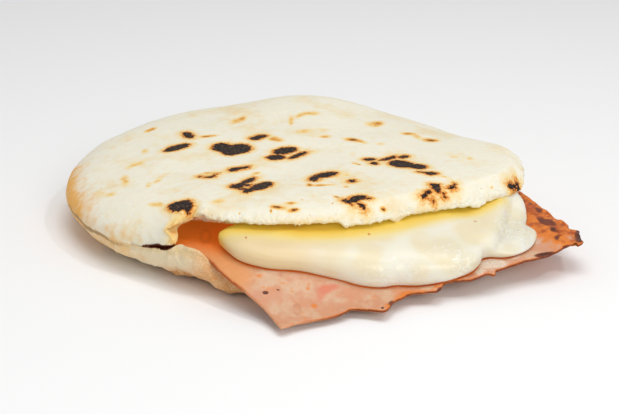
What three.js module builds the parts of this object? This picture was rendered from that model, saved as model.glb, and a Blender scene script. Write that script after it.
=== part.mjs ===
// A grilled arepa corn cake, split open at the front and filled with a slice of ham
// and a slab of melted white cheese. Millimetres, +Z up, mouth towards -Y.
//
// Every shape is worked out about the cake's own upright axis and moved at the end.
// A bearing is an angle in degrees round that axis: 0 is the middle of the mouth
// (-Y), positive to the right (+X), negative to the left.
import * as THREE from 'three';

// Driving dimensions
const cake = {
  radius: 67.8,           // mean radius of the rim
  crown: 21.2,            // height of the top over the axis
  rimHeight: 10,          // height of the widest line on the closed side
  mouthLeft: -74,         // bearings between which the cake is split
  mouthRight: 86,
  tearBearing: -54,       // left of this the mouth is only a crack
  crack: 1.1,             // width of that crack
  lidUnder: 18.3,         // underside of the lid at the lip
  lidWall: 4.2,           // least thickness of the lid
  wedge: 4.6,             // the slit narrows by this much towards its back
  floor: 9.2,             // top of the lower half inside the mouth
  lowLip: 6,              // widest line of the lower half in front
  flat: 0.6,              // flat middle of the underside, as a share of the radius
  slitBack: 14,           // the slit ends this far behind the axis
  sillRound: 0.8,         // how far the floor sinks towards the lower lip
};
const ham = {
  thickness: 2.2,
  gap: 0.3,               // clearance to the cake below
  bendBefore: 5,          // it starts to droop this far inside the lower lip
  drop: 9,                // how far the front left corner hangs down
  overhang: 25,           // length over which it hangs down
  wave: 0.3,              // height of the ripples in the overhang
};
const cheese = {
  gap: 0.35,              // clearance to the ham below
  headroom: 0.9,          // clearance to the lid above
  bulge: 3,               // height of its widest line above the ham, at most
  runDown: 0.2,           // slope of its upper side where it has flowed out
  centre: [6, -36],
  foldStart: [26, -74],   // the furrow before its lower fold, from the front
  foldEnd: [41.4, -57.5],
  foldBow: 2,             // how far the furrow bends towards the fold
  foldStep: 2.2,          // how much lower the fold lies than the slab
  furrow: 1.6,            // depth of the furrow itself
};

const rad = THREE.MathUtils.degToRad;
const mix = THREE.MathUtils.lerp;
const clamp = THREE.MathUtils.clamp;
const ramp = (x, from, to) => {
  const t = clamp((x - from) / (to - from), 0, 1);
  return t * t * (3 - 2 * t);
};
const hump = (x, centre, width) => Math.exp(-(((x - centre) / width) ** 2));
const turn = (a, b) => ((((a - b + 180) % 360) + 360) % 360) - 180;
const bearingHump = (a, centre, width) => hump(turn(a, centre), 0, width);
const bearingOf = (x, y) => THREE.MathUtils.radToDeg(Math.atan2(x, -y));

function seeded(seed) {
  let state = seed;
  return () => {
    state = (state * 1664525 + 1013904223) % 4294967296;
    return state / 4294967296;
  };
}

// How open the mouth is at a bearing: 0 on the closed side, 1 along the lip.
const openness = (a) => ramp(a, cake.tearBearing - 1.8, cake.tearBearing + 1.8)
  * (1 - ramp(a, 62, cake.mouthRight));

const rimRadius = (a) => cake.radius
  + 1.6 * Math.cos(rad(a + 110))
  - 1.4 * bearingHump(a, 122, 30)
  + 0.8 * bearingHump(a, 152, 15)
  - 0.6 * bearingHump(a, -155, 22)
  - 1.8 * bearingHump(a, -60, 9);

const lidRadius = (a) => rimRadius(a)
  - 8 * openness(a) * (1 - ramp(a, 8, 42))
  + 4.6 * bearingHump(a, 48, 14)
  + 1.6 * bearingHump(a, 66, 8);

const lowRadius = (a) => rimRadius(a)
  + 1.2 * bearingHump(a, -35, 18)
  - 10 * openness(a) * ramp(a, -36, 2) * (1 - ramp(a, 28, 72));

// Heights round the mouth: the lid's edge and the lower half's edge.
const lidEdgeHeight = (a) => mix(cake.rimHeight, cake.lidUnder + 1.6, openness(a));
const crackHeight = (a) => cake.crack * (1 - openness(a))
  * ramp(a, cake.mouthLeft, cake.tearBearing - 6) * (1 - ramp(a, -20, 0));
const lowEdgeHeight = (a) => mix(cake.rimHeight, cake.lowLip, openness(a)) - crackHeight(a);

// How squarely the top and the underside turn down and up to the edge.
const topFullness = (a) => mix(4.2, 16, ramp(a, -85, -35) * (1 - ramp(a, 55, 100)));
const lowFullness = (a) => 6 + 12 * bearingHump(a, -25, 36);

// The crown of the lid, with its raised back and its low right shoulder.
const crownHeight = (x, y) => cake.crown
  + 3.6 * hump(Math.hypot(x - 30, y - 49), 0, 19)
  - 2.4 * hump(Math.hypot(x - 60, y - 14), 0, 24)
  - 0.8 * hump(Math.hypot(x + 54, y - 30), 0, 24)
  + 2.0 * ramp(-y, 10, 58)
  + 0.25 * Math.sin(x * 0.16 + 1) * Math.sin(y * 0.19);

function lidHeight(x, y) {
  const a = bearingOf(x, y);
  const step = Math.min(1, Math.hypot(x, y) / lidRadius(a));
  return mix(lidEdgeHeight(a), crownHeight(x, y), Math.sqrt(1 - step ** topFullness(a)));
}

// Ceiling of the slit: it slopes down to the back and leaves the lid its wall.
const slitHeight = (y) => cake.lidUnder - cake.wedge * ramp(y, -45, 20);
const ceilingHeight = (x, y) => Math.min(slitHeight(y), lidHeight(x, y) - cake.lidWall);

// Underside of the ham: flat on the cake, then drooping past the lower lip, down to
// the table at the left corner and less and less towards the right.
function hamUnder(x, y) {
  const a = bearingOf(x, y);
  const past = Math.hypot(x, y) - lowRadius(a) + ham.bendBefore;
  const drop = ham.drop * (1 - 0.85 * ramp(a, -20, 50));
  const ripple = ham.wave * ramp(past, 6, 14) * Math.sin(x * 0.21 + 0.6) * Math.cos(y * 0.13);
  return cake.floor + ham.gap - drop * ramp(past, 0, ham.overhang) + ripple;
}

// Collects the vertices and triangles of one closed body.
class Skin {
  constructor() {
    this.points = [];
    this.triangles = [];
  }

  point(x, y, z) {
    this.points.push(x, y, z);
    return this.points.length / 3 - 1;
  }

  triangle(a, b, c) {
    if (a !== b && b !== c && c !== a) this.triangles.push(a, b, c);
  }

  // Joins two rows of the same length, the second one outside or below the first.
  band(first, second, closed) {
    const last = closed ? first.length : first.length - 1;
    for (let i = 0; i < last; i += 1) {
      const j = (i + 1) % first.length;
      this.triangle(first[i], second[i], second[j]);
      this.triangle(first[i], second[j], first[j]);
    }
  }

  bands(rows, closed) {
    for (let k = 0; k < rows.length - 1; k += 1) this.band(rows[k], rows[k + 1], closed);
  }

  mesh(name, colour, roughness) {
    const geometry = new THREE.BufferGeometry();
    geometry.setAttribute('position', new THREE.Float32BufferAttribute(this.points, 3));
    geometry.setIndex(this.triangles);
    geometry.computeVertexNormals();
    const material = new THREE.MeshStandardMaterial({ color: colour, roughness, metalness: 0 });
    const mesh = new THREE.Mesh(geometry, material);
    mesh.name = name;
    return mesh;
  }
}

// Bearings of the cake's meridians, close together round the mouth.
function meridians() {
  const bearings = [];
  const add = (from, to, count) => {
    for (let i = 0; i < count; i += 1) bearings.push(mix(from, to, i / count));
  };
  add(cake.mouthLeft, cake.tearBearing - 3, 7);
  add(cake.tearBearing - 3, cake.tearBearing + 3, 6);
  add(cake.tearBearing + 3, 62, 64);
  add(62, cake.mouthRight, 8);
  add(cake.mouthRight, cake.mouthLeft + 360, 42);
  return bearings;
}

// The torn lip is uneven: every meridian has its own small offsets, with two
// hanging crumbs at the middle.
function tornOffsets(bearings) {
  const random = seeded(41);
  return bearings.map((a) => {
    const open = openness(a);
    const out = 1.0 * (random() - 0.5) * open;
    const down = 1.1 * (random() - 0.5) * open + 0.8 * hump(a, 8, 1.6) + 0.8 * hump(a, -9.5, 2);
    return { out, down };
  });
}

function buildCake() {
  const skin = new Skin();
  const bearings = meridians();
  const torn = tornOffsets(bearings);
  const topSteps = [0.16, 0.34, 0.52, 0.68, 0.79, 0.87, 0.93, 0.965, 0.988];
  const lowSteps = [0.985, 0.955, 0.9, 0.82, 0.72, cake.flat];
  const at = (a, r) => [r * Math.sin(rad(a)), -r * Math.cos(rad(a))];
  const isOpen = (i) => bearings[i] > cake.mouthLeft + 0.01 && bearings[i] < cake.mouthRight - 0.01;

  const topPole = skin.point(0, 0, crownHeight(0, 0));
  const top = topSteps.map((step) => bearings.map((a, i) => {
    const [x, y] = at(a, step * (lidRadius(a) + torn[i].out));
    const full = Math.sqrt(1 - step ** topFullness(a));
    return skin.point(x, y, mix(lidEdgeHeight(a), crownHeight(x, y), full));
  }));
  const lidEdge = bearings.map((a, i) => (
    skin.point(...at(a, lidRadius(a) + torn[i].out), lidEdgeHeight(a))));
  const lowEdge = bearings.map((a, i) => (
    isOpen(i) ? skin.point(...at(a, lowRadius(a)), lowEdgeHeight(a)) : lidEdge[i]));
  const low = lowSteps.map((step) => bearings.map((a) => {
    const full = step === cake.flat ? 1 : Math.sqrt(1 - step ** lowFullness(a));
    return skin.point(...at(a, step * lowRadius(a)), mix(lowEdgeHeight(a), 0, full));
  }));
  const lowPole = skin.point(0, 0, 0);
  skin.bands([bearings.map(() => topPole), ...top, lidEdge], true);
  skin.bands([lowEdge, ...low, bearings.map(() => lowPole)], true);

  // The slit: each column runs from the lid's edge along the ceiling to the back
  // wall, and along the floor to the lower half's edge.
  const columns = [];
  bearings.forEach((a, i) => {
    if (!isOpen(i)) return;
    const open = openness(a);
    const lid = at(a, lidRadius(a) + torn[i].out);
    const sill = at(a, lowRadius(a));
    const depth = ramp(a, cake.mouthLeft, cake.mouthLeft + 16)
      * (1 - ramp(a, cake.mouthRight - 16, cake.mouthRight));
    const back = [
      mix(lid[0], lid[0] * 0.86, depth),
      mix(lid[1], cake.slitBack - 7 * ramp(Math.abs(lid[0]), 40, 62), depth),
    ];
    const along = (from, s) => [mix(from[0], back[0], s), mix(from[1], back[1], s)];
    const ceiling = (s) => {
      const [x, y] = along(lid, s);
      return skin.point(x, y, Math.max(ceilingHeight(x, y), lowEdgeHeight(a) + 0.6));
    };
    const lip = (s, height, wall) => {
      const [x, y] = along(lid, s);
      return skin.point(x, y, Math.min(height, lidHeight(x, y) - wall));
    };
    const floor = (s) => {
      const [x, y] = along(sill, s);
      const level = cake.floor - cake.sillRound * (1 - ramp(s, 0.02, 0.18));
      return skin.point(x, y, mix(lowEdgeHeight(a) + 0.1, level, Math.max(open, ramp(s, 0, 0.1))));
    };
    const under = mix(lidEdgeHeight(a) - 0.3, cake.lidUnder - torn[i].down, open);
    const shoulder = mix(lowEdgeHeight(a) + 0.05, mix(cake.floor, cake.lowLip, 0.35), open);
    const middle = (cake.floor + Math.max(ceilingHeight(...back), cake.floor + 0.6)) / 2;
    columns.push([
      lidEdge[i],
      lip(0.012, under, 1.6),
      lip(0.045, mix(under, cake.lidUnder, open), 3),
      ceiling(0.2),
      ceiling(0.38),
      ceiling(0.56),
      ceiling(0.75),
      ceiling(0.95),
      skin.point(...back, middle),
      floor(0.95),
      floor(0.55),
      floor(0.2),
      floor(0.05),
      skin.point(...along(sill, 0.016), shoulder),
      lowEdge[i],
    ]);
  });
  const end = (a) => columns[0].map(() => lidEdge[bearings.findIndex((b) => b >= a - 0.001)]);
  const pocket = [end(cake.mouthLeft), ...columns, end(cake.mouthRight)];
  skin.bands(pocket.reverse(), false);
  return skin.mesh('arepa', 0xefe6cd, 0.75);
}

// The slice of ham: nearly square, lying on the lower half and hanging out of the
// mouth. Across (0 left, 1 right) and inward (0 front, 1 back) place a point on it.
const hamFront = (x) => -79.2
  - 0.8 * hump(x, -40, 4)
  + 1.2 * hump(x, -19, 3)
  - 4.0 * hump(x, -11.5, 3.8)
  + 1.4 * hump(x, -1, 2.5)
  + 1.6 * hump(x, 10.2, 2.4)
  - 1.2 * ramp(x, 13, 16)
  + 3.2 * ramp(x, 43, 49);
const hamLeft = (y) => -40
  - 6.5 * ramp(y, -76, -52)
  - 3.3 * ramp(y, -52, -38)
  + 4 * ramp(y, -24, 10);
const hamRight = (y) => 54.4
  + 3 * ramp(y, -78, -74)
  - 1.8 * hump(y, -67.5, 2)
  + 0.5 * ramp(y, -60, -45)
  - 10 * ramp(y, -34, 12);
const hamBack = (x) => 8.5 - 4 * ramp(Math.abs(x - 3), 25, 50);

function hamPoint(across, inward) {
  let x = mix(-40, 54, across);
  let y = -40;
  for (let step = 0; step < 6; step += 1) {
    y = mix(hamFront(x), hamBack(x), inward);
    x = mix(hamLeft(y), hamRight(y), across);
  }
  return [x, y];
}

function buildHam() {
  const skin = new Skin();
  const acrossSteps = 46;
  const inwardSteps = 18;
  const layer = (lift) => {
    const rows = [];
    for (let j = 0; j <= inwardSteps; j += 1) {
      const inward = (j / inwardSteps) ** 1.35;
      const row = [];
      for (let i = 0; i <= acrossSteps; i += 1) {
        const [x, y] = hamPoint(i / acrossSteps, inward);
        row.push(skin.point(x, y, hamUnder(x, y) + lift));
      }
      rows.push(row);
    }
    return rows;
  };
  const under = layer(0);
  const over = layer(ham.thickness);
  skin.bands([...over].reverse(), false);
  skin.bands(under, false);
  const border = (rows) => [
    ...rows[0],
    ...rows.slice(1, -1).map((row) => row[row.length - 1]),
    ...[...rows[rows.length - 1]].reverse(),
    ...rows.slice(1, -1).map((row) => row[0]).reverse(),
  ];
  skin.band(border(over), border(under), true);
  return skin.mesh('ham', 0xd9a283, 0.5);
}

// The slab of cheese: its outline on the ham, clockwise seen from above, from the
// tongue at the left over the hidden back to the fold at the right and the front.
const cheeseOutline = new THREE.CatmullRomCurve3([
  [-40, -38], [-37, -22], [-30, -8], [-14, -2], [8, -1], [30, -3], [46, -10], [53, -24],
  [54.3, -40], [53.4, -48], [50, -56], [46.3, -61.5], [44.5, -68], [40, -73], [34.5, -75.8],
  [30, -75.6], [26.6, -73], [24, -73.2], [21, -76.4], [17, -79], [10, -79], [3, -77],
  [-3, -74.5], [-8, -74], [-13, -72], [-18, -69], [-27, -64.8], [-36, -61], [-41.5, -55],
  [-42.5, -47],
].map(([x, y]) => new THREE.Vector3(x, y, 0)), true, 'centripetal');

// How much lower the slab lies at a point because of its furrow and fold.
function foldDepth(x, y) {
  const [sx, sy] = cheese.foldStart;
  const [ex, ey] = cheese.foldEnd;
  const length = Math.hypot(ex - sx, ey - sy);
  const along = ((x - sx) * (ex - sx) + (y - sy) * (ey - sy)) / length;
  const behind = ((y - sy) * (ex - sx) - (x - sx) * (ey - sy)) / length
    + cheese.foldBow * hump(along, 0.45 * length, 0.4 * length);
  const fade = 1 - ramp(along, 0.8 * length, 1.2 * length);
  const lower = cheese.foldStep * (1 - ramp(behind, -3, 2.5));
  return fade * (lower + cheese.furrow * hump(behind, 0, 1.7));
}

// Upper side of the slab, under the lid and run down a little outside of it.
function cheeseCrown(x, y) {
  const pastLid = Math.hypot(x, y) - lidRadius(bearingOf(x, y));
  const inside = mix(ceilingHeight(x, y), slitHeight(y), ramp(pastLid, -8, -3)) - cheese.headroom;
  return inside - cheese.runDown * Math.max(0, -y - 54) - foldDepth(x, y);
}

// Points of the outline, most of them along the front.
function cheeseBorder() {
  const hidden = 26;
  const shown = 70;
  const points = [];
  for (let i = 0; i < hidden; i += 1) points.push(mix(0, 0.49, i / hidden));
  for (let i = 0; i < shown; i += 1) points.push(mix(0.49, 1, i / shown));
  return points.map((u) => cheeseOutline.getPointAt(u)).reverse();
}

function buildCheese() {
  const skin = new Skin();
  const topSteps = [0.3, 0.5, 0.63, 0.73, 0.8, 0.86, 0.91, 0.955, 0.987];
  const lowSteps = [0.985, 0.95, 0.88, 0.8, 0.72, 0.64, 0.56, 0.46, 0.3];
  const outline = cheeseBorder();
  const [cx, cy] = cheese.centre;
  const bed = (x, y) => hamUnder(x, y) + ham.thickness + cheese.gap;
  const bulge = (x, y) => Math.min(cheese.bulge, 0.5 * (cheeseCrown(x, y) - bed(x, y)));
  const ring = (step, height) => outline.map((p) => {
    const x = mix(cx, p.x, step);
    const y = mix(cy, p.y, step);
    return skin.point(x, y, height(x, y));
  });
  const topPole = skin.point(cx, cy, cheeseCrown(cx, cy));
  const top = topSteps.map((step) => ring(step, (x, y) => (
    mix(bed(x, y) + bulge(x, y), cheeseCrown(x, y), Math.sqrt(1 - step ** 5)))));
  const edge = ring(1, (x, y) => bed(x, y) + bulge(x, y));
  const low = lowSteps.map((step) => ring(step, (x, y) => (
    bed(x, y) + bulge(x, y) * (1 - Math.sqrt(1 - step ** 30)))));
  const lowPole = skin.point(cx, cy, bed(cx, cy));
  skin.bands([outline.map(() => topPole), ...top, edge, ...low, outline.map(() => lowPole)], true);
  return skin.mesh('cheese', 0xf1e3bb, 0.35);
}

const group = new THREE.Group();
group.add(buildCake(), buildHam(), buildCheese());

// The origin is the middle of the whole part's footprint, on the table.
const extent = new THREE.Box3().setFromObject(group);
const middle = extent.getCenter(new THREE.Vector3());
group.position.set(-middle.x, -middle.y, -extent.min.z);
export default group;
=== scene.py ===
# A grilled arepa filled with ham and melted cheese, dressed over its CAD frame.
# Shapes are worked out in millimetres about the cake's own axis, mouth towards -Y,
# and moved into the frame when a mesh is made. A bearing is an angle in degrees
# round that axis: 0 is the middle of the mouth, positive to the right.
import math

import bpy
import numpy as np
from mathutils import Matrix


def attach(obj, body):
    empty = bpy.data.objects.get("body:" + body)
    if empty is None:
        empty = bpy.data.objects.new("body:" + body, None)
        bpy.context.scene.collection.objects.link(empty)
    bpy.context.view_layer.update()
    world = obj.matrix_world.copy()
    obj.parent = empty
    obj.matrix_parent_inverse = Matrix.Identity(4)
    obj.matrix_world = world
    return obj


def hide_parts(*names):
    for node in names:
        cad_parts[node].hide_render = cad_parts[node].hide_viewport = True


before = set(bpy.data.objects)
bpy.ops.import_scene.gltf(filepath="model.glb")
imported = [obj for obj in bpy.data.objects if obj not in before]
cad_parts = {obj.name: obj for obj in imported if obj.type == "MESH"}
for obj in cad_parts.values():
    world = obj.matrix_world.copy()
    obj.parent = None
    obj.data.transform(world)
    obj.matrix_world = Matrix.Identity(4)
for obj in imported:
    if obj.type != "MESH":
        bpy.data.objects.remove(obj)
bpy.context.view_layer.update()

axisPlace = (1.715, 7.509)   # the cake's axis in the frame, in mm


def mix(a, b, t):
    return a + (b - a) * t


def ramp(x, low, high):
    t = np.clip((np.asarray(x, float) - low) / (high - low), 0, 1)
    return t * t * (3 - 2 * t)


def plateau(x, start, full, fade, end):
    return ramp(x, start, full) * (1 - ramp(x, fade, end))


def hump(x, centre, width):
    return np.exp(-((np.asarray(x, float) - centre) / width) ** 2)


def bearingHump(a, centre, width):
    return hump((np.asarray(a, float) - centre + 180) % 360 - 180, 0, width)


def humps(x, rows, shape=hump):
    # A sum of humps, each given by its height, centre and width.
    return sum(height * shape(x, centre, width) for height, centre, width in rows)


def steps(x, rows):
    # A sum of smooth steps, each given by its height, start and end.
    return sum(height * ramp(x, start, end) for height, start, end in rows)


def bearingOf(x, y):
    return np.degrees(np.arctan2(x, -np.asarray(y, float)))


class Grain:
    # Smooth seeded noise about -0.5 to 0.5 over points in mm; size is a lump's width.
    def __init__(self, seed):
        self.values = np.random.default_rng(seed).random((48, 48, 48))

    def at(self, points, size):
        scaled = np.asarray(points, float) / size + 0.37
        cell = np.floor(scaled).astype(int)
        part = scaled - cell
        part = part * part * (3 - 2 * part)
        total = 0.0
        for corner in np.ndindex(2, 2, 2):
            weight = np.prod(np.where(corner, part, 1 - part), axis=-1)
            i, j, k = np.moveaxis((cell + corner) % 48, -1, 0)
            total = total + weight * self.values[i, j, k]
        return total - 0.5


grainA = Grain(5)
grainB = Grain(17)
grainC = Grain(29)


cake = {
    "radius": 67.8, "crown": 21.2, "rimHeight": 10.0, "mouthLeft": -66.0, "mouthRight": 86.0,
    "tear": -53.0, "crack": 1.3, "crackAt": -55.6, "lidUnder": 18.3, "lidWall": 4.2, "wedge": 4.6,
    "floor": 9.2, "lowLip": 6.0, "flat": 0.6, "slitBack": 14.0, "slitEnd": 16.0, "sillRound": 0.8,
    # Height, bearing and width of what swells or dents an outline or an edge.
    "rimSwells": [(-1.4, 122, 30), (0.8, 152, 15), (-0.6, -155, 22), (-1.8, -60, 9)],
    "lidSwells": [(4.6, 48, 14), (1.6, 66, 8), (1.8, 24, 8)],
    "lipTeeth": [(1.3, -51.9, 0.8), (1.5, 4.8, 1.4), (0.9, -10, 1.5), (-0.9, -48.6, 1.0)],
    # Height, place and width of what swells or dents the crown.
    "crownSwells": [(3.6, 30, 49, 19), (-2.4, 60, 14, 24), (-0.8, -54, 30, 24)],
}


def openness(a):
    return plateau(a, cake["tear"] - 1.1, cake["tear"] + 1.1, 62, cake["mouthRight"])


def rimRadius(a):
    return (cake["radius"] + 1.6 * np.cos(np.radians(a + 110))
            + humps(a, cake["rimSwells"], bearingHump))


def lidRadius(a):
    return (rimRadius(a) - 8 * openness(a) * (1 - ramp(a, 8, 42))
            + humps(a, cake["lidSwells"], bearingHump))


def lowRadius(a):
    return (rimRadius(a) + 1.2 * bearingHump(a, -35, 18)
            - 10 * openness(a) * plateau(a, -36, 2, 28, 72))


def rimLift(a):
    # The rim climbs towards the tear, and drops again under the ham.
    return 3.0 * plateau(a, -65, -52.5, -47, -40.5)


def lidEdgeHeight(a):
    return mix(cake["rimHeight"] + rimLift(a), cake["lidUnder"] + 1.6, openness(a))


def lowEdgeHeight(a):
    crack = (0.4 * plateau(a, -65, -61, -52, -49)
             + cake["crack"] * hump(a, cake["crackAt"], 1.6))
    drop = plateau(a, -47, -37.5, 62, cake["mouthRight"])
    return mix(cake["rimHeight"], cake["lowLip"], drop) + rimLift(a) - crack


def topFullness(a):
    return mix(4.2, 13, plateau(a, -85, -35, 55, 100))


def lowFullness(a):
    return 6 + 12 * bearingHump(a, -25, 36)


def crownHeight(x, y):
    swells = sum(height * hump(np.hypot(x - atX, y - atY), 0, width)
                 for height, atX, atY, width in cake["crownSwells"])
    ripple = 0.25 * np.sin(x * 0.16 + 1) * np.sin(y * 0.19)
    return cake["crown"] + swells + 2.0 * ramp(-y, 10, 58) + ripple


def lidHeight(x, y):
    a = bearingOf(x, y)
    step = np.minimum(1, np.hypot(x, y) / lidRadius(a))
    return mix(lidEdgeHeight(a), crownHeight(x, y), np.sqrt(1 - step ** topFullness(a)))


def pastLid(x, y):
    return np.hypot(x, y) - lidRadius(bearingOf(x, y))


def slitHeight(y):
    return cake["lidUnder"] - cake["wedge"] * ramp(y, -45, 20)


def ceilingHeight(x, y):
    return np.minimum(slitHeight(y), lidHeight(x, y) - cake["lidWall"])


ham = {
    "thickness": 2.2, "edgeThickness": 0.9, "width": 97.0, "length": 86.0, "gap": 0.3,
    "bendBefore": 5.0, "drop": 9.0, "overhang": 25.0, "wave": 0.3, "columns": 271, "rows": 121,
}
# Each edge by its place, the height, centre and width of its humps, and the height, start and
# end of its steps.
hamEdges = {
    "front": (-79.2, [(-0.8, -40, 4), (1.2, -19, 3), (-4.0, -11.5, 3.4), (1.4, -1, 2.5), (-1.3, 6, 1.6),
                      (1.6, 10.2, 2.2), (-1.5, 22.5, 0.8), (-0.7, 40.5, 3)],
              [(-1.2, 13, 16), (1.3, 20, 34), (1.6, 43.5, 48.5), (-1.6, 49.6, 51)]),
    "left": (-40.0, [(-0.6, -49, 5)],
             [(-6.5, -76, -52), (-3.3, -52, -38), (-2.6, -44, -35), (6.6, -24, 10)]),
    "right": (52.4, [(-1.0, -68.3, 1), (1.2, -70.3, 1)],
              [(1.2, -79, -77.6), (2.6, -77.5, -71.5), (1.0, -66, -48), (-10.0, -34, 12)]),
}


def hamUnder(x, y):
    a = bearingOf(x, y)
    past = np.hypot(x, y) - lowRadius(a) + ham["bendBefore"]
    drop = ham["drop"] * (1 - 0.85 * ramp(a, -20, 50))
    ripple = ham["wave"] * ramp(past, 6, 14) * np.sin(x * 0.21 + 0.6) * np.cos(y * 0.13)
    return cake["floor"] + ham["gap"] - drop * ramp(past, 0, ham["overhang"]) + ripple


def placeObject(name, data):
    made = bpy.data.objects.new(name, data)
    bpy.context.scene.collection.objects.link(made)
    return made


class Skin:
    # Collects rows of points in mm with marks on them, and the faces between the rows.
    def __init__(self):
        self.rows = []
        self.faces = []

    def row(self, x, y, z, **marks):
        points = np.stack(np.broadcast_arrays(*np.atleast_1d(x, y, z)), 1)
        start = sum(len(own) for own, _ in self.rows)
        self.rows.append((points, marks))
        return list(range(start, start + len(points)))

    def bands(self, rows, closed):
        # Where rows share a point, the face between them has three corners.
        for first, second in zip(rows, rows[1:]):
            if closed:
                first, second = first + first[:1], second + second[:1]
            for corners in zip(first, second, second[1:], first[1:]):
                corners = list(dict.fromkeys(corners))
                if len(corners) > 2:
                    self.faces.append(corners)

    def array(self):
        return np.concatenate([points for points, _ in self.rows])

    def mark(self, name):
        # A row made without the mark has 0.
        return np.concatenate([marks.get(name, 0.0) + np.zeros(len(points))
                               for points, marks in self.rows])

    def normals(self, points):
        corners = np.array([(face[0], *face[k:k + 2])
                            for face in self.faces for k in range(1, len(face) - 1)])
        p, q, r = (points[corners[:, k]] for k in range(3))
        faceNormal = np.cross(q - p, r - p)
        out = np.zeros_like(points)
        for k in range(3):
            np.add.at(out, corners[:, k], faceNormal)
        return out / np.maximum(np.linalg.norm(out, axis=1, keepdims=True), 1e-9)

    def build(self, name, points, marks):
        mesh = bpy.data.meshes.new(name)
        mesh.from_pydata(((points + (*axisPlace, 0)) / 1000).tolist(), [], self.faces)
        mesh.polygons.foreach_set("use_smooth", [True] * len(mesh.polygons))
        for mark, values in marks.items():
            held = mesh.attributes.new(mark, "FLOAT", "POINT").data
            held.foreach_set("value", np.asarray(values, np.float32))
        mesh.update()
        print(name, len(mesh.polygons), "faces")
        return placeObject(name, mesh)


# The camera's view, also used to place marks that are given by their pixels in it.
shot = {
    "azimuth": -25.0, "elevation": 21.0, "distance": 425.0, "lens": 85.0, "sensor": 36.0,
    "target": (-7.3, -27.5, 12.0), "width": 619, "height": 414,
}


def viewAxes():
    azimuth, elevation = math.radians(shot["azimuth"]), math.radians(shot["elevation"])
    right = np.array([math.cos(azimuth), math.sin(azimuth), 0.0])
    backward = np.array([math.sin(azimuth) * math.cos(elevation),
                         -math.cos(azimuth) * math.cos(elevation), math.sin(elevation)])
    return right, np.cross(backward, right), backward


def placeOn(surface, px, py):
    # Where the lines of sight through some pixels meet a surface of heights over x and y.
    right, up, backward = viewAxes()
    focal = shot["width"] * shot["lens"] / shot["sensor"]
    across = (np.asarray(px, float) - shot["width"] / 2) / focal
    down = (np.asarray(py, float) - shot["height"] / 2) / focal
    heading = across[..., None] * right - down[..., None] * up - backward
    start = np.array(shot["target"]) + shot["distance"] * backward
    height = 0 * across + 14
    for _ in range(60):
        spot = start + heading * ((height - start[2]) / heading[..., 2])[..., None]
        height = mix(height, surface(spot[..., 0], spot[..., 1]), 0.4)
    return spot[..., :2]


class Marks:
    # Ellipses laid on a surface. Each is given in pixels by its middle, half length and half
    # width, and then by its tilt, or 0, and its strength, or 1.
    def __init__(self, surface, rows):
        rows = [(*row, *(0, 1)[len(row) - 4:]) for row in rows]
        px, py, long, wide, tilt, self.strength = np.array(rows, float).T
        c, s = np.cos(np.radians(tilt)), -np.sin(np.radians(tilt))
        self.middle = placeOn(surface, px, py)

        def halfAxis(dx, dy):
            return (placeOn(surface, px + dx / 2, py + dy / 2)
                    - placeOn(surface, px - dx / 2, py - dy / 2))

        axes = np.stack([halfAxis(long * c, long * s), halfAxis(-wide * s, wide * c)], -1)
        self.toCircle = np.linalg.inv(axes)

    def reaches(self, x, y):
        # How far out points are, 1 on the ellipse, and how fast that grows per mm.
        for middle, toCircle, strength in zip(self.middle, self.toCircle, self.strength):
            u, v = toCircle @ np.stack([x - middle[0], y - middle[1]])
            reach = np.hypot(u, v)
            slope = np.hypot(*(toCircle.T @ np.stack([u, v]))) / np.maximum(reach, 1e-6)
            yield reach, np.maximum(slope, 1e-6), strength

    def depth(self, x, y):
        # Depth in mm inside the nearest ellipse, negative outside.
        depth = np.full(np.shape(x), -9.0)
        for reach, slope, _ in self.reaches(x, y):
            depth = np.maximum(depth, np.clip((1 - reach) / slope, -9, 3))
        return depth

    def soft(self, x, y):
        return sum(strength * np.exp(-reach ** 2) for reach, _, strength in self.reaches(x, y))

    def rings(self, x, y):
        return sum(strength * hump(reach, 1, 0.3) for reach, _, strength in self.reaches(x, y))


def allOf(groups):
    return [row for rows in groups.values() for row in rows]


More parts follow.
